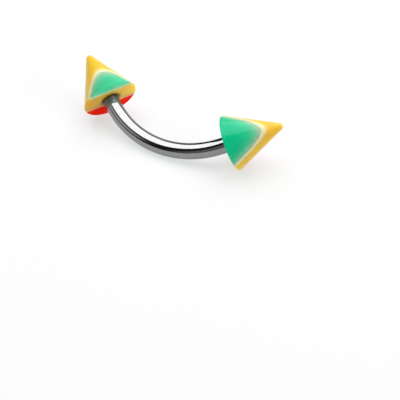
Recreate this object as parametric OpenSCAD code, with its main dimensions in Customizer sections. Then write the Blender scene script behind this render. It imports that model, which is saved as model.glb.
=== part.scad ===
// Curved body-jewellery barbell: a bent steel bar with a layered cone on each end.
// It lies as it rests by itself: the middle of the bend and one rim of each cone touch the surface at Z 0.
// X runs from the left cone to the right one, and the open side of the bend faces +Y.

/* [Bar] */
// Diameter of the bar
bar_d = 1.2; // [0.9:0.05:1.4]
// Radius of the bend, to the middle of the bar
bend_r = 7.55; // [6.5:0.05:10]
// Angle from the middle of the bend to each of its ends
bend_half = 38; // [30:1:44]
// Straight length between the bend and each shoulder
end_l = 0.6; // [0.3:0.01:1.5]
// Diameter of the post that goes into each cone
post_d = 0.8; // [0.6:0.02:0.84]
// Length of each post past its shoulder
post_l = 2; // [1:0.1:2.2]
// Bevel around the post's tip
post_bevel = 0.12; // [0.05:0.01:0.2]

/* [Cones] */
// Width across the base of each cone
cone_d = 4.15; // [3.8:0.05:5]
// Height of each cone from its base to its tip
cone_h = 4.05; // [3.8:0.05:5]
// Radius of the blunt tip
tip_r = 0.26; // [0.15:0.01:0.4]
// Radius of the edge around the base
rim_r = 0.1; // [0.03:0.01:0.12]

/* [Layers] */
// Thickness of the yellow middle layer
yellow_t = 1.62; // [1.5:0.02:1.8]
// Thickness of the white sheet on each side of the yellow layer
sheet_t = 0.13; // [0.08:0.01:0.2]
// Glue line between two layers
glue_t = 0.01; // [0.005:0.005:0.02]
// How far the yellow layer's middle lies from the left cone's axis, towards the green side
left_shift = 0.34; // [0:0.01:0.35]
// How far the yellow layer's middle lies from the right cone's axis, towards the green side
right_shift = -0.1; // [-0.33:0.01:0.33]
// Turn of the left cone's layers about its axis
left_turn = 25; // [-180:1:180]
// Turn of the right cone's layers about its axis
right_turn = 5; // [-180:1:180]

/* [Fit] */
// Gap between the bar's shoulder and the cone's base
seat_gap = 0.02; // [0.01:0.01:0.05]
// Clearance around the post in its hole
post_clear = 0.02; // [0.01:0.005:0.03]
// Space past the post's tip in the hole
hole_end = 0.15; // [0.05:0.05:0.3]

/* [Hidden] */
bar_r = bar_d / 2;
post_r = post_d / 2;
// The straight ends start this far inside the bend, and are this much thinner, so that they join it cleanly
overlap = 0.1;
end_step = 0.002;
cone_r = cone_d / 2;
hole_r = post_r + post_clear;
hole_l = post_l + hole_end;
// Straight run from the end of the bend to the cone's base
base_l = end_l + seat_gap;
// Height of each cone's base centre over the middle of the bend, in the plane of the bend
rise = bend_r * (1 - cos(bend_half)) + base_l * sin(bend_half);
// Lean of the bend's plane at which the bar and both rims touch the surface together
rim_ring = cone_r - rim_r;
rim_rise = rise + rim_r * sin(bend_half);
drop = bar_r - rim_r;
lean_a = pow(rim_rise, 2) + pow(rim_ring * sin(bend_half), 2);
lean_b = 2 * rim_rise * drop;
lean_c = pow(drop, 2) - pow(rim_ring, 2);
lean = asin((-lean_b + sqrt(pow(lean_b, 2) - 4 * lean_a * lean_c)) / (2 * lean_a));
// Depth of the whole part: the bar in front, a cone's tip or rim behind
axis_y = sin(bend_half) * cos(lean);
tip_back = rise * cos(lean) + (cone_h - tip_r) * axis_y + tip_r;
rim_back = rise * cos(lean) + rim_r * axis_y + rim_ring * sqrt(1 - pow(axis_y, 2)) + rim_r;
front = -bar_r;
back = max(tip_back, rim_back);
// Straight side of the cone between its rounded rim and its rounded tip
side_x = rim_ring;
side_z = cone_h - tip_r - rim_r;
side_l = sqrt(pow(side_x, 2) + pow(side_z, 2));
side_a = atan2(side_z, -side_x) - acos((rim_r - tip_r) / side_l);
$fn = 96;

// Stands a part drawn with its bend flat in the XY plane on its three points of rest
module at_rest() {
    translate([0, bend_r * cos(lean) - (front + back) / 2, bend_r * sin(lean) + bar_r])
        rotate([lean, 0, 0]) children();
}

// Puts a piece drawn up the Z axis on an end of the bend; dir is 1 for the right end and -1 for the left
module at_end(dir, along) {
    turn = dir > 0 ? bend_half : 180 - bend_half;
    translate([dir * bend_r * sin(bend_half), -bend_r * cos(bend_half), 0])
        rotate([0, 0, turn]) rotate([0, 90, 0]) rotate([0, 0, 180])
            translate([0, 0, along]) children();
}

// Straight end of the bar, its shoulder and its post; each starts a little inside the piece before it
module bar_end() {
    translate([0, 0, -overlap]) cylinder(h = overlap + end_l, r = bar_r - end_step);
    cylinder(h = end_l + post_l - post_bevel, r = post_r);
    translate([0, 0, end_l + post_l - post_bevel])
        cylinder(h = post_bevel, r1 = post_r, r2 = post_r - post_bevel);
}

module curved_bar() {
    color("lightsteelblue") at_rest() union() {
        rotate([0, 0, 270 - bend_half]) rotate_extrude(angle = 2 * bend_half)
            translate([bend_r, 0]) circle(r = bar_r);
        for (dir = [-1, 1]) at_end(dir, 0) bar_end();
    }
}

// Half of the cone's outline, with its rounded rim and tip
module cone_outline() {
    intersection() {
        union() {
            polygon([[0, 0], [rim_ring, 0],
                     [rim_ring, rim_r] + rim_r * [cos(side_a), sin(side_a)],
                     [0, cone_h - tip_r] + tip_r * [cos(side_a), sin(side_a)],
                     [0, cone_h - tip_r]]);
            translate([rim_ring, rim_r]) circle(r = rim_r);
            translate([0, cone_h - tip_r]) circle(r = tip_r);
        }
        square([cone_r, cone_h]);
    }
}

// One layer of a cone, between two planes along its axis; the turned form closes at the angle given by seam
module layer(from, to, seam, has_hole) {
    difference() {
        intersection() {
            rotate([0, 0, seam]) rotate_extrude() cone_outline();
            translate([from, -cone_r - 1, -1]) cube([to - from, cone_d + 2, cone_h + 2]);
        }
        if (has_hole) translate([0, 0, -1]) cylinder(h = hole_l + 1, r = hole_r);
    }
}

// Layers counted outwards: 0 yellow, 1 and -1 white sheets, 2 green, -2 red
module cone_layer(dir, n) {
    shift = dir > 0 ? right_shift : left_shift;
    turn = dir > 0 ? right_turn : left_turn;
    edges = [0, yellow_t / 2, yellow_t / 2 + glue_t, yellow_t / 2 + glue_t + sheet_t,
             yellow_t / 2 + 2 * glue_t + sheet_t, cone_r + 1];
    side = sign(n);
    near = side * edges[2 * abs(n)];
    far = side * edges[2 * abs(n) + 1];
    at_rest() at_end(dir, base_l) rotate([0, 0, turn])
        if (n == 0) layer(shift - edges[1], shift + edges[1], 0, true);
        else layer(shift + min(near, far), shift + max(near, far), side > 0 ? 0 : 180, false);
}

module left_green_layer() { color("mediumseagreen") cone_layer(-1, 2); }
module left_green_side_sheet() { color("ivory") cone_layer(-1, 1); }
module left_yellow_layer() { color("goldenrod") cone_layer(-1, 0); }
module left_red_side_sheet() { color("ivory") cone_layer(-1, -1); }
module left_red_layer() { color("red") cone_layer(-1, -2); }
module right_green_layer() { color("mediumseagreen") cone_layer(1, 2); }
module right_green_side_sheet() { color("ivory") cone_layer(1, 1); }
module right_yellow_layer() { color("goldenrod") cone_layer(1, 0); }
module right_red_side_sheet() { color("ivory") cone_layer(1, -1); }
module right_red_layer() { color("red") cone_layer(1, -2); }

curved_bar();
left_green_layer();
left_green_side_sheet();
left_yellow_layer();
left_red_side_sheet();
left_red_layer();
right_green_layer();
right_green_side_sheet();
right_yellow_layer();
right_red_side_sheet();
right_red_layer();
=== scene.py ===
import math
import bpy
from mathutils import Matrix, Vector


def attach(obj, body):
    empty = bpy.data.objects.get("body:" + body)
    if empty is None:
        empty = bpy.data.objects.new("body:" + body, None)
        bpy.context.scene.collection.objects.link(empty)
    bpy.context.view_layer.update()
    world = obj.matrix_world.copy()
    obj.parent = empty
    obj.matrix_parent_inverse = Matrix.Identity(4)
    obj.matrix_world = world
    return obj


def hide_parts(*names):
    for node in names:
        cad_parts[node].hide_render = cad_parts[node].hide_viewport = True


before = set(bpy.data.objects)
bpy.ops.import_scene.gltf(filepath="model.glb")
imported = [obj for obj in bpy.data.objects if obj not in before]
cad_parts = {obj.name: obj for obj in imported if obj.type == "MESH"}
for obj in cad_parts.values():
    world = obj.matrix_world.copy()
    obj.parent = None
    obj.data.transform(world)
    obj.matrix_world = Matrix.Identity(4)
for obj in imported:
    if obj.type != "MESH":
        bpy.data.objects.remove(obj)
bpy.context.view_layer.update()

mm = 0.001
print("frame loaded:", len(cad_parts), "nodes")

# sizes in mm, angles in degrees; the cone's outline also settles how the part lies, so it stands up here
lie = {
    "barRadius": 0.6,
    "bendRadius": 7.55,  # to the middle of the bar
    "bendHalf": 38.0,  # from the middle of the bend to each end
    "baseAlong": 0.62,  # from the end of the bend to a cone's base
}
cone = {
    "baseRadius": 2.075,
    "height": 4.05,
    "tipRadius": 0.26,
    "rimRadius": 0.10,
    "holeRadius": 0.42,
    "holeDepth": 2.15,
    "holeEdge": 0.02,  # bevel at the hole's mouth
    "yellow": 1.62,  # thickness of the layers, stacked across the axis
    "sheet": 0.13,
    "glue": 0.01,
    "around": 180,
    "baseRings": (0.5, 1.0, 1.5),
    "rimGuard": 0.04,  # a last ring on the base, this far inside the rounded rim
    "rimSteps": 8,
    "sideSteps": 24,
    "sideEnds": (0.012, 0.985),  # first and last ring on the straight side, as shares of it
    "tipSteps": 10,
}
tolerance = {
    "weld": 0.0005,
    "mirror": 0.001,
    "pick": 0.001,
    "cut": 0.00001,
}
smoothBelow = 32  # faces that meet at less than this are shaded as one


def turned(degrees, axis):
    return Matrix.Rotation(math.radians(degrees), 4, axis)


# the bend's plane leans until the middle of the bar and one rim of each cone touch the floor together;
# gives that lean in radians, and how far back the bend's centre lies when the part's depth is centred
def restStand():
    half = math.radians(lie["bendHalf"])
    rimRing = cone["baseRadius"] - cone["rimRadius"]
    rise = lie["bendRadius"] * (1 - math.cos(half)) + lie["baseAlong"] * math.sin(half)
    rimRise = rise + cone["rimRadius"] * math.sin(half)
    drop = lie["barRadius"] - cone["rimRadius"]
    a = rimRise ** 2 + (rimRing * math.sin(half)) ** 2
    b = 2 * rimRise * drop
    c = drop ** 2 - rimRing ** 2
    lean = math.asin((math.sqrt(b ** 2 - 4 * a * c) - b) / (2 * a))
    axisBack = math.sin(half) * math.cos(lean)
    tipBack = (cone["height"] - cone["tipRadius"]) * axisBack + cone["tipRadius"]
    rimBack = cone["rimRadius"] * (axisBack + 1) + rimRing * math.sqrt(1 - axisBack ** 2)
    back = rise * math.cos(lean) + max(tipBack, rimBack)
    return lean, lie["bendRadius"] * math.cos(lean) - (back - lie["barRadius"]) / 2


# from the flat bend, in mm about its own centre, to where it rests
def restPlace():
    lean, back = restStand()
    up = lie["bendRadius"] * math.sin(lean) + lie["barRadius"]
    return Matrix.Scale(mm, 4) @ Matrix.Translation((0, back, up)) @ Matrix.Rotation(lean, 4, "X")


# from a cone drawn up the Z axis, base at 0 and layers stacked along X, to its end of the bar
def conePlace(side, layerTurn):
    half = math.radians(lie["bendHalf"])
    end = (side * lie["bendRadius"] * math.sin(half), -lie["bendRadius"] * math.cos(half), 0)
    heading = lie["bendHalf"] if side > 0 else 180 - lie["bendHalf"]
    out = turned(heading, "Z") @ turned(90, "Y") @ turned(180, "Z")
    seat = Matrix.Translation((0, 0, lie["baseAlong"])) @ turned(layerTurn, "Z")
    return restPlace() @ Matrix.Translation(end) @ out @ seat


def deselectAll():
    if bpy.context.object and bpy.context.object.mode != "OBJECT":
        bpy.ops.object.mode_set(mode="OBJECT")
    bpy.ops.object.select_all(action="DESELECT")


# puts a piece drawn in mm where it belongs, with its place in its mesh
def settle(piece, place):
    deselectAll()
    piece.select_set(True)
    bpy.context.view_layer.objects.active = piece
    piece.matrix_world = place
    bpy.ops.object.transform_apply(location=True, rotation=True, scale=True)
    bpy.ops.object.shade_smooth_by_angle(angle=math.radians(smoothBelow))
    piece.select_set(False)


# adds a ring to draw a piece from, and leaves it selected in edit mode
def startRing(name, sides, radius, **placing):
    deselectAll()
    bpy.ops.mesh.primitive_circle_add(vertices=sides, radius=radius, **placing)
    piece = bpy.context.object
    piece.name = piece.data.name = name
    bpy.ops.object.transform_apply(location=True, rotation=True, scale=True)
    bpy.ops.object.mode_set(mode="EDIT")
    bpy.ops.mesh.select_all(action="SELECT")
    return piece


def selectVerts(piece, test):
    bpy.ops.mesh.select_all(action="DESELECT")
    bpy.ops.object.mode_set(mode="OBJECT")
    for vert in piece.data.vertices:
        vert.select = test(vert.co)
    bpy.ops.object.mode_set(mode="EDIT")


def cleanUp():
    bpy.ops.mesh.select_all(action="SELECT")
    bpy.ops.mesh.remove_doubles(threshold=tolerance["weld"])
    bpy.ops.mesh.normals_make_consistent(inside=False)
    bpy.ops.object.mode_set(mode="OBJECT")


def newMaterial(name):
    material = bpy.data.materials.new(name)
    material.use_nodes = True
    return material, material.node_tree, material.node_tree.nodes["Principled BSDF"]


# object coordinates seen from a piece's own place, in mm
def localCoords(tree, place):
    coords = tree.nodes.new("ShaderNodeTexCoord")
    mapping = tree.nodes.new("ShaderNodeMapping")
    mapping.vector_type = "TEXTURE"
    location, rotation, scale = place.decompose()
    mapping.inputs["Location"].default_value = location
    mapping.inputs["Rotation"].default_value = rotation.to_euler()
    mapping.inputs["Scale"].default_value = scale
    tree.links.new(coords.outputs["Object"], mapping.inputs["Vector"])
    return mapping.outputs["Vector"]


def splitNode(tree, vector):
    node = tree.nodes.new("ShaderNodeSeparateXYZ")
    tree.links.new(vector, node.inputs[0])
    return tuple(node.outputs)


def joinNode(tree, *values):
    node = tree.nodes.new("ShaderNodeCombineXYZ")
    for socket, value in zip(node.inputs, values):
        tree.links.new(value, socket)
    return node.outputs[0]


def lengthNode(tree, vector):
    node = tree.nodes.new("ShaderNodeVectorMath")
    node.operation = "LENGTH"
    tree.links.new(vector, node.inputs[0])
    return node.outputs["Value"]


def mathNode(tree, operation, first, second=0):
    node = tree.nodes.new("ShaderNodeMath")
    node.operation = operation
    for socket, value in zip(node.inputs, (first, second)):
        if isinstance(value, (int, float)):
            socket.default_value = value
        else:
            tree.links.new(value, socket)
    return node.outputs[0]


def noiseNode(tree, vector, scale, detail=3):
    node = tree.nodes.new("ShaderNodeTexNoise")
    node.inputs["Scale"].default_value = scale
    node.inputs["Detail"].default_value = detail
    tree.links.new(vector, node.inputs["Vector"])
    return node.outputs["Fac"]


def rangeNode(tree, value, fromMin, fromMax, toMin, toMax, kind="LINEAR"):
    node = tree.nodes.new("ShaderNodeMapRange")
    node.interpolation_type = kind
    node.inputs["From Min"].default_value = fromMin
    node.inputs["From Max"].default_value = fromMax
    node.inputs["To Min"].default_value = toMin
    node.inputs["To Max"].default_value = toMax
    tree.links.new(value, node.inputs["Value"])
    return node.outputs["Result"]


def mixNode(tree, factor, first, second):
    node = tree.nodes.new("ShaderNodeMix")
    node.data_type = "RGBA"
    tree.links.new(factor, node.inputs["Factor"])
    for socket, value in ((node.inputs[6], first), (node.inputs[7], second)):
        if isinstance(value, tuple):
            socket.default_value = value
        else:
            tree.links.new(value, socket)
    return node.outputs[2]


def bumpNode(tree, height, depth, strength, shader):
    node = tree.nodes.new("ShaderNodeBump")
    node.inputs["Strength"].default_value = strength
    node.inputs["Distance"].default_value = depth * mm
    tree.links.new(height, node.inputs["Height"])
    tree.links.new(node.outputs["Normal"], shader.inputs["Normal"])


# colours are linear; lengths in mm
steel = {
    "colour": (0.285, 0.285, 0.288, 1),
    "wornColour": (0.225, 0.225, 0.228, 1),  # fine grey mottle
    "wornScale": 13.0,
    "wornFrom": (0.46, 0.66),
    "roughness": (0.045, 0.09),
    "lineScale": 26.0,  # fine polishing lines along the bar
    "lineStretch": 0.03,
    "lineFrom": (0.3, 0.7),
    "lineDepth": 0.0015,
    "lineStrength": 0.25,
    "speckColour": (0.17, 0.17, 0.175, 1),  # small marks in the polish
    "speckScale": 7.0,
    "speckFrom": (0.63, 0.70),
    "speckRoughness": 0.10,
    "satinShadeColour": (0.220, 0.240, 0.320, 1),  # the straight ends, left dull; their dark bluish colour is painted shade, where the cone shades them
    "satinRoughness": 0.42,
    "satinFrom": {"left": 0.0, "right": 0.36},  # past the end of the bend
    "satinEdge": 0.05,
    "postColour": (0.30, 0.30, 0.305, 1),  # the shoulders' faces and the threaded posts, as machined
    "postRoughness": 0.22,
    "postFrom": 0.57,
}


def steelMaterial():
    material, tree, shader = newMaterial("polished steel")
    place = localCoords(tree, restPlace())
    x, y, z = splitNode(tree, place)
    ringRadius = lengthNode(tree, joinNode(tree, x, y))
    stretched = mathNode(tree, "MULTIPLY", x, steel["lineStretch"])
    lines = noiseNode(tree, joinNode(tree, ringRadius, z, stretched), steel["lineScale"])
    worn = rangeNode(tree, noiseNode(tree, place, steel["wornScale"]), *steel["wornFrom"], 0, 1)
    speck = rangeNode(tree, noiseNode(tree, place, steel["speckScale"]), *steel["speckFrom"], 0, 1)
    # how far past the end of the bend, along the straight end
    half = math.radians(lie["bendHalf"])
    outward = mathNode(tree, "MULTIPLY", mathNode(tree, "ABSOLUTE", x), math.cos(half))
    onward = mathNode(tree, "MULTIPLY", y, math.sin(half))
    past = mathNode(tree, "ADD", outward, onward)
    # the dull straight ends also carry painted shade; on the right end it starts further out
    start, laterStart = steel["satinFrom"]["left"], steel["satinFrom"]["right"]
    isRight = mathNode(tree, "GREATER_THAN", x)
    delay = mathNode(tree, "MULTIPLY", isRight, laterStart - start)
    satinPast = mathNode(tree, "SUBTRACT", past, delay)
    satinAndShade = rangeNode(tree, satinPast, start, start + steel["satinEdge"], 0, 1, "SMOOTHSTEP")
    post = mathNode(tree, "GREATER_THAN", past, steel["postFrom"])
    colour = mixNode(tree, worn, steel["colour"], steel["wornColour"])
    colour = mixNode(tree, speck, colour, steel["speckColour"])
    colour = mixNode(tree, satinAndShade, colour, steel["satinShadeColour"])
    colour = mixNode(tree, post, colour, steel["postColour"])
    tree.links.new(colour, shader.inputs["Base Color"])
    rough = rangeNode(tree, lines, *steel["lineFrom"], *steel["roughness"])
    duller = (
        (speck, steel["speckRoughness"]),
        (satinAndShade, steel["satinRoughness"]),
        (post, steel["postRoughness"] - steel["satinRoughness"]),
    )
    for mask, more in duller:
        rough = mathNode(tree, "ADD", rough, mathNode(tree, "MULTIPLY", mask, more))
    tree.links.new(rough, shader.inputs["Roughness"])
    bumpNode(tree, lines, steel["lineDepth"], steel["lineStrength"], shader)
    shader.inputs["Metallic"].default_value = 1
    return material


# colour and cloud lie deep in a layer, thin beside a white sheet; base is painted light and shade on the
# cone's flat base, brighter towards one end for the yellow, and seat is a painted shadow around the bar's
# shoulder; fade and the depth of the light inside are in mm
acrylics = {
    "green": {
        "colour": (0.005, 0.465, 0.232, 1),
        "cloud": (0.004, 0.43, 0.210, 1),
        "thin": (0.50, 0.74, 0.44, 1),
        "base": (0.012, 0.66, 0.32, 1),
        "seat": (0.002, 0.05, 0.02, 1),
        "fade": 0.16,
        "gloss": 0.13,
        "inside": 0.5,
        "depth": (0.2, 1.2, 0.8),
    },
    "yellow": {
        "colour": (0.75, 0.48, 0.050, 1),
        "cloud": (0.70, 0.44, 0.043, 1),
        "thin": (0.86, 0.68, 0.25, 1),
        "base": (0.70, 0.37, 0.030, 1),
        # painted light: the brightest end of the yellow base
        "baseLitEnd": (0.97, 0.62, 0.045, 1),
        "seat": (0.05, 0.04, 0.01, 1),
        "fade": 0.05,
        "gloss": 0.15,
        "inside": 0.6,
        "depth": (1.2, 0.9, 0.3),
    },
    "red": {
        "colour": (0.80, 0.008, 0.003, 1),
        "cloud": (0.74, 0.006, 0.002, 1),
        "thin": (0.88, 0.22, 0.12, 1),
        "base": (0.98, 0.023, 0.008, 1),
        "seat": (0.10, 0.004, 0.002, 1),
        "fade": 0.04,
        "gloss": 0.0,
        "inside": 0.3,
        "depth": (0.8, 0.1, 0.1),
    },
    "green side": {
        "colour": (0.62, 0.68, 0.42, 1),
        "thin": (0.84, 0.70, 0.36, 1),
        "base": (0.35, 0.95, 0.50, 1),
        "seat": (0.06, 0.06, 0.03, 1),
        "fade": 0.04,
        "gloss": 0.3,
    },
    "red side": {
        "colour": (0.90, 0.62, 0.44, 1),
        "thin": (0.90, 0.74, 0.44, 1),
        "base": (1.0, 0.28, 0.115, 1),
        "seat": (0.06, 0.05, 0.03, 1),
        "fade": 0.04,
        "gloss": 0.3,
    },
}
acrylicFinish = {
    "ior": 1.49,
    "roughness": (0.015, 0.03),
    "turningScale": 9.0,  # rings left by turning the cone
    "turningFrom": (0.3, 0.7),
    "turningDepth": 0.0006,
    "turningStrength": 0.2,
    "cloudScale": 0.9,
    "cloudFrom": (0.35, 0.7),
    "baseEdge": 0.03,  # the cone's flat base, up to this height
    "baseLightFrom": (-1.2, 2.0),  # painted light: the yellow base grows brighter towards one end, along the layer
    "seatShadowRing": (0.64, 0.90),  # painted shadow, darkened around the bar's shoulder
    "seatShade": 0.92,
}


# place is the cone's; each plane is where the layer meets a white sheet, with the way it thickens from
# there, and haze is how pale it stays all through
def acrylicMaterial(name, kind, place, planes, haze):
    look = acrylics[kind]
    finish = acrylicFinish
    material, tree, shader = newMaterial(name)
    here = localCoords(tree, place)
    x, y, z = splitNode(tree, here)
    thin = 0
    for plane, way in planes:
        depth = mathNode(tree, "SUBTRACT", x, plane)
        fade = mathNode(tree, "EXPONENT", mathNode(tree, "MULTIPLY", depth, -way / look["fade"]))
        thin = mathNode(tree, "ADD", fade, thin)
    thin = rangeNode(tree, thin, 0, 1, haze, 1)
    side = look["colour"]
    if "cloud" in look:
        cloud = rangeNode(tree, noiseNode(tree, here, finish["cloudScale"]), *finish["cloudFrom"], 0, 1)
        side = mixNode(tree, cloud, side, look["cloud"])
    side = mixNode(tree, thin, side, look["thin"])
    # the flat base's colours are painted light and shade, set apart from the side's colour of the same
    # acrylic
    base = look["base"]
    # painted light and shade across the yellow base, from its darker end to its lit end
    if "baseLitEnd" in look:
        base = mixNode(tree, rangeNode(tree, y, *finish["baseLightFrom"], 0, 1), base, look["baseLitEnd"])
    if "side" not in kind:
        base = mixNode(tree, thin, base, look["thin"])
    onBase = mathNode(tree, "LESS_THAN", z, finish["baseEdge"])
    colour = mixNode(tree, onBase, side, base)
    # painted shadow on the base around the bar's shoulder
    shade = rangeNode(tree, lengthNode(tree, here), *finish["seatShadowRing"], finish["seatShade"], 0)
    tree.links.new(mixNode(tree, shade, colour, look["seat"]), shader.inputs["Base Color"])
    marks = noiseNode(tree, joinNode(tree, z), finish["turningScale"])
    rough = rangeNode(tree, marks, *finish["turningFrom"], *finish["roughness"])
    tree.links.new(rough, shader.inputs["Roughness"])
    bumpNode(tree, marks, finish["turningDepth"], finish["turningStrength"], shader)
    shader.inputs["IOR"].default_value = finish["ior"]
    shader.inputs["Specular IOR Level"].default_value = look["gloss"]
    if "inside" in look:
        shader.inputs["Subsurface Weight"].default_value = look["inside"]
        shader.inputs["Subsurface Radius"].default_value = look["depth"]
        shader.inputs["Subsurface Scale"].default_value = mm
    return material


curvedBar = {
    "around": 96,
    "bendSteps": 40,
    "endLength": 0.60,  # from the end of the bend to the shoulder
    "shoulderEdge": 0.03,  # worn edge of the shoulder
    "shoulderGuard": 0.03,  # a ring this far before the worn edge
    "shoulderSteps": ((0.3, 0.05), (0.4, 0.3), (0.3, 1.0)),  # ahead and how far in, as shares of the edge
    "postRadius": 0.4,
    "postGuard": 0.02,  # a ring this far around the post, on the shoulder's face
    "postLength": 2.0,
    "postBevel": 0.12,
    "threadFrom": 0.20,  # past the shoulder
    "threadPitch": 0.20,
    "threadTurns": 8,
    "threadDepth": 0.04,
}


# draws the selected ring on, straight ahead at the end of the bend, to another radius
def drawOn(ring, ahead, radius):
    half = math.radians(lie["bendHalf"])
    step = Vector((math.cos(half), math.sin(half), 0)) * ahead
    ring["at"] += step
    bpy.ops.mesh.extrude_region_move(TRANSFORM_OT_translate={"value": step})
    bpy.ops.transform.resize(value=(radius / ring["radius"],) * 3, center_override=ring["at"])
    ring["radius"] = radius


# half of the bar is drawn from its middle outwards, in the flat, and then mirrored
def makeCurvedBar():
    v = curvedBar
    barRadius, bendRadius, half = lie["barRadius"], lie["bendRadius"], math.radians(lie["bendHalf"])
    middle, end = (0, -bendRadius, 0), (bendRadius * math.sin(half), -bendRadius * math.cos(half), 0)
    bar = startRing("curvedBar", v["around"], barRadius, rotation=(0, math.pi / 2, 0), location=middle)
    bpy.ops.mesh.spin(steps=v["bendSteps"], angle=-half, center=(0, 0, 0), axis=(0, 0, 1))
    ring = {"at": Vector(end), "radius": barRadius}
    edge = v["shoulderEdge"]
    drawOn(ring, v["endLength"] - edge - v["shoulderGuard"], barRadius)
    drawOn(ring, v["shoulderGuard"], barRadius)
    for ahead, inward in v["shoulderSteps"]:
        drawOn(ring, edge * ahead, barRadius - edge * inward)
    drawOn(ring, 0, v["postRadius"] + v["postGuard"])
    drawOn(ring, 0, v["postRadius"])
    drawOn(ring, v["threadFrom"], v["postRadius"])
    for turn in range(v["threadTurns"]):
        drawOn(ring, v["threadPitch"] / 2, v["postRadius"] - v["threadDepth"])
        drawOn(ring, v["threadPitch"] / 2, v["postRadius"])
    threadEnd = v["threadFrom"] + v["threadTurns"] * v["threadPitch"]
    drawOn(ring, v["postLength"] - v["postBevel"] - threadEnd, v["postRadius"])
    drawOn(ring, v["postBevel"], v["postRadius"] - v["postBevel"])
    bpy.ops.mesh.edge_face_add()
    bpy.ops.object.mode_set(mode="OBJECT")
    mirror = bar.modifiers.new("otherHalf", "MIRROR")
    mirror.use_axis = (True, False, False)
    mirror.merge_threshold = tolerance["mirror"]
    bpy.ops.object.modifier_apply(modifier=mirror.name)
    bpy.ops.object.mode_set(mode="EDIT")
    cleanUp()
    settle(bar, restPlace())
    bar.data.materials.append(steelMaterial())
    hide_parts("curved_bar")
    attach(bar, "bar")
    print("curved bar:", len(bar.data.polygons), "faces")


makeCurvedBar()

# shift is how far the yellow layer's middle lies off the axis, towards the green side; the left cone's
# green layer is the thinner one, and so a little paler
coneSides = {
    "left": {"side": -1, "layerTurn": 25, "shift": 0.34, "greenHaze": 0.075},
    "right": {"side": 1, "layerTurn": 5, "shift": -0.10, "greenHaze": 0.0},
}


# rings along an arc about a centre at this height, without its last one
def arcRings(radius, height, start, end, steps):
    angles = [start + (end - start) * i / steps for i in range(steps)]
    return [(radius * math.cos(a), height + radius * math.sin(a)) for a in angles]


# rings of the turned cone, as (radius, height), from the hole's floor round the base and up to the tip
def coneRings():
    rimRadius, tipRadius = cone["rimRadius"], cone["tipRadius"]
    rimRing = cone["baseRadius"] - rimRadius
    tipUp = cone["height"] - tipRadius
    rise = tipUp - rimRadius
    # the way that the straight side faces
    slope = math.atan2(rise, -rimRing) - math.acos((rimRadius - tipRadius) / math.hypot(rimRing, rise))
    rings = [(cone["holeRadius"], cone["holeDepth"]), (cone["holeRadius"], cone["holeEdge"])]
    rings += [(cone["holeRadius"] + cone["holeEdge"], 0)]
    rings += [(radius, 0) for radius in cone["baseRings"] + (rimRing - cone["rimGuard"],)]
    rim = arcRings(rimRadius, rimRadius, -math.pi / 2, slope, cone["rimSteps"])
    rings += [(rimRing + radius, height) for radius, height in rim]
    start = Vector((rimRing + rimRadius * math.cos(slope), rimRadius + rimRadius * math.sin(slope)))
    end = Vector((tipRadius * math.cos(slope), tipUp + tipRadius * math.sin(slope)))
    first, last = cone["sideEnds"]
    shares = [0, first] + [i / cone["sideSteps"] for i in range(1, cone["sideSteps"])] + [last]
    rings += [tuple(start.lerp(end, share)) for share in shares]
    return rings + arcRings(tipRadius, tipUp, slope, math.pi / 2, cone["tipSteps"])


# one whole cone with its blind hole, drawn up the Z axis in mm
def turnCone():
    rings = coneRings()
    whole = startRing("wholeCone", cone["around"], rings[0][0], location=(0, 0, rings[0][1]))
    for (oldRadius, oldHeight), (radius, height) in zip(rings, rings[1:]):
        grow = radius / oldRadius
        bpy.ops.mesh.extrude_region_move(TRANSFORM_OT_translate={"value": (0, 0, height - oldHeight)})
        bpy.ops.transform.resize(value=(grow, grow, 1), center_override=(0, 0, height))
    tipCap = cone["height"] - rings[-1][1]
    bpy.ops.mesh.extrude_region_move(TRANSFORM_OT_translate={"value": (0, 0, tipCap)})
    bpy.ops.mesh.merge(type="CENTER")
    floor, reach, near = cone["holeDepth"], cone["holeRadius"], tolerance["pick"]
    selectVerts(whole, lambda co: abs(co.z - floor) < near and math.hypot(co.x, co.y) < reach + near)
    bpy.ops.mesh.edge_face_add()
    cleanUp()
    return whole


# cuts away what lies below or above a plane across the layers, and closes the cut
def cutAway(part, x):
    bpy.ops.mesh.select_all(action="SELECT")
    bpy.ops.mesh.bisect(plane_co=(x, 0, 0), plane_no=(1, 0, 0), use_fill=True, threshold=tolerance["cut"],
                        clear_inner=part == "below", clear_outer=part == "above")


# a copy of the whole cone, cut down to what lies between two planes along its layers
def cutLayer(whole, name, low, high):
    deselectAll()
    layer = whole.copy()
    layer.data = whole.data.copy()
    layer.name = layer.data.name = name
    bpy.context.collection.objects.link(layer)
    layer.select_set(True)
    bpy.context.view_layer.objects.active = layer
    bpy.ops.object.mode_set(mode="EDIT")
    if low > -cone["baseRadius"]:
        cutAway("below", low)
    if high < cone["baseRadius"]:
        cutAway("above", high)
    cleanUp()
    return layer


# each layer's piece, finish, node and slot, and where it starts and ends, from the middle of the yellow one
def coneLayers():
    yellow = cone["yellow"] / 2
    near = yellow + cone["glue"]
    far = near + cone["sheet"]
    outer = far + cone["glue"]
    clear = cone["baseRadius"] + 1
    return (
        ("GreenLayer", "green", "green_layer", "green_acrylic", outer, clear),
        ("GreenSideSheet", "green side", "green_side_sheet", "white_acrylic", near, far),
        ("YellowLayer", "yellow", "yellow_layer", "yellow_acrylic", -yellow, yellow),
        ("RedSideSheet", "red side", "red_side_sheet", "white_acrylic", -far, -near),
        ("RedLayer", "red", "red_layer", "red_acrylic", -clear, -outer),
    )


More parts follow.
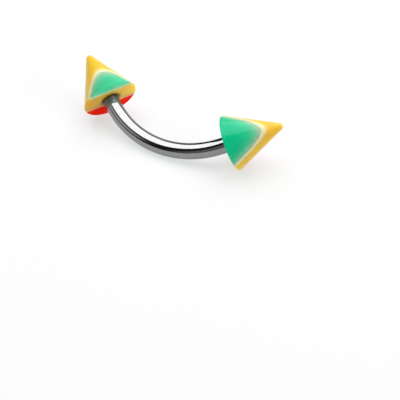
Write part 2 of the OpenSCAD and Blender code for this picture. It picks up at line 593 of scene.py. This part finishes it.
def makeCone(label, whole):
    v = coneSides[label]
    place = conePlace(v["side"], v["layerTurn"])
    for name, kind, node, slot, low, high in coneLayers():
        piece = cutLayer(whole, label + name, v["shift"] + low, v["shift"] + high)
        settle(piece, place)
        planes = []
        if high > 0:
            planes.append((v["shift"] + low, 1))
        if low < 0:
            planes.append((v["shift"] + high, -1))
        haze = v["greenHaze"] if kind == "green" else 0
        finish = acrylicMaterial(label + " " + node.replace("_", " "), kind, place, planes, haze)
        piece.data.materials.append(finish)
        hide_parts(label + "_" + node)
        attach(piece, label + "_cone")
        print(piece.name + ":", len(piece.data.polygons), "faces")


wholeCone = turnCone()
for label in coneSides:
    makeCone(label, wholeCone)
bpy.data.objects.remove(wholeCone)

# lengths in metres; azimuths are to the right of the camera's line, in degrees
studio = {
    "floorColour": (0.252, 0.240, 0.241, 1),
    "floorSize": 1.6,
    "floorRoughness": 0.85,
    "floorGloss": 0.1,
    "fibreScale": 900,
    "fibreDetail": 4,
    "fibreShade": 0.985,
    "glowColour": (0.97, 1, 1, 1),  # a light table under the paper
    "glowStrength": 0.648,
    "lightSize": (0.302, 0.290),
    "lightAt": (-0.001, 0.099),  # to the right of and away from the camera's line
    "lightHeight": 0.200,
    "lightPower": 0.98,
    "fillSize": (0.14, 0.10),
    "fillFrom": (125, 22),  # azimuth and elevation
    "fillDistance": 0.25,
    "fillPower": 0.28,
    "roomGlow": 0.03,
    # pale walls: azimuth, elevation and half width in degrees, brightness
    "walls": ((-160, 14, 34, 0.24), (-99, 24, 19, 0.85), (24, 23, 38, 0.55)),
    "wallCore": 0.25,  # share of a wall's area that is at full brightness
}
view = {
    "position": (50.4187, -79.5329, 73.8059),  # mm
    "lookAt": (5.3896, -4.5958, 0.0),
    "azimuth": 31.0,  # of the camera's line, in degrees
    "lens": 145.904,
    "sensor": 36,
    "nearest": 0.01,  # metres
}


def makeFloor():
    deselectAll()
    bpy.ops.mesh.primitive_plane_add(size=studio["floorSize"], location=(0, 0, 0))
    floor = bpy.context.object
    floor.name = "paperFloor"
    material, tree, shader = newMaterial("white paper")
    coords = tree.nodes.new("ShaderNodeTexCoord")
    fibre = noiseNode(tree, coords.outputs["Object"], studio["fibreScale"], studio["fibreDetail"])
    shade = tuple(c * studio["fibreShade"] for c in studio["floorColour"][:3]) + (1,)
    tree.links.new(mixNode(tree, fibre, studio["floorColour"], shade), shader.inputs["Base Color"])
    shader.inputs["Roughness"].default_value = studio["floorRoughness"]
    shader.inputs["Specular IOR Level"].default_value = studio["floorGloss"]
    shader.inputs["Emission Color"].default_value = studio["glowColour"]
    shader.inputs["Emission Strength"].default_value = studio["glowStrength"]
    floor.data.materials.append(material)


def addLight(name, size, power, location, rotation):
    deselectAll()
    bpy.ops.object.light_add(type="AREA", location=location, rotation=rotation)
    light = bpy.context.object
    light.name = name
    light.data.shape = "RECTANGLE"
    light.data.size, light.data.size_y = size
    light.data.energy = power


# a unit vector by the azimuth from the camera's line to its right, and the elevation
def wayTo(azimuth, elevation):
    turn, up = math.radians(view["azimuth"] - azimuth), math.radians(elevation)
    return Vector((-math.sin(turn) * math.cos(up), math.cos(turn) * math.cos(up), math.sin(up)))


# a large softbox overhead, level and square to the camera's line
def makeSoftbox():
    right, away = studio["lightAt"]
    location = wayTo(90, 0) * right + wayTo(0, 0) * away + Vector((0, 0, studio["lightHeight"]))
    rotation = (0, 0, math.radians(view["azimuth"]))
    addLight("softbox", studio["lightSize"], studio["lightPower"], location, rotation)


def makeFill():
    way = wayTo(*studio["fillFrom"])
    rotation = way.to_track_quat("Z", "Y").to_euler()
    addLight("fillCard", studio["fillSize"], studio["fillPower"], way * studio["fillDistance"], rotation)


# a dark room with a few pale walls, seen only in the polished steel
def makeRoom():
    world = bpy.data.worlds.new("darkRoom")
    world.use_nodes = True
    tree = world.node_tree
    coords = tree.nodes.new("ShaderNodeTexCoord")
    total = studio["roomGlow"]
    for azimuth, elevation, spread, brightness in studio["walls"]:
        facing = tree.nodes.new("ShaderNodeVectorMath")
        facing.operation = "DOT_PRODUCT"
        facing.inputs[1].default_value = wayTo(azimuth, elevation)
        tree.links.new(coords.outputs["Generated"], facing.inputs[0])
        edge = math.cos(math.radians(spread))
        full = 1 - (1 - edge) * studio["wallCore"]
        wall = rangeNode(tree, facing.outputs["Value"], edge, full, 0, brightness, "SMOOTHSTEP")
        total = mathNode(tree, "ADD", wall, total)
    tree.links.new(total, tree.nodes["Background"].inputs["Color"])
    bpy.context.scene.world = world


def makeCamera():
    position, lookAt = (Vector(view[name]) * mm for name in ("position", "lookAt"))
    deselectAll()
    bpy.ops.object.camera_add(location=position)
    camera = bpy.context.object
    camera.rotation_euler = (lookAt - position).to_track_quat("-Z", "Y").to_euler()
    camera.data.lens = view["lens"]
    camera.data.sensor_width = view["sensor"]
    camera.data.clip_start = view["nearest"]
    bpy.context.scene.camera = camera


makeFloor()
makeSoftbox()
makeFill()
makeRoom()
makeCamera()
bpy.context.scene.view_settings.view_transform = "Standard"
print("floor, light and camera placed")
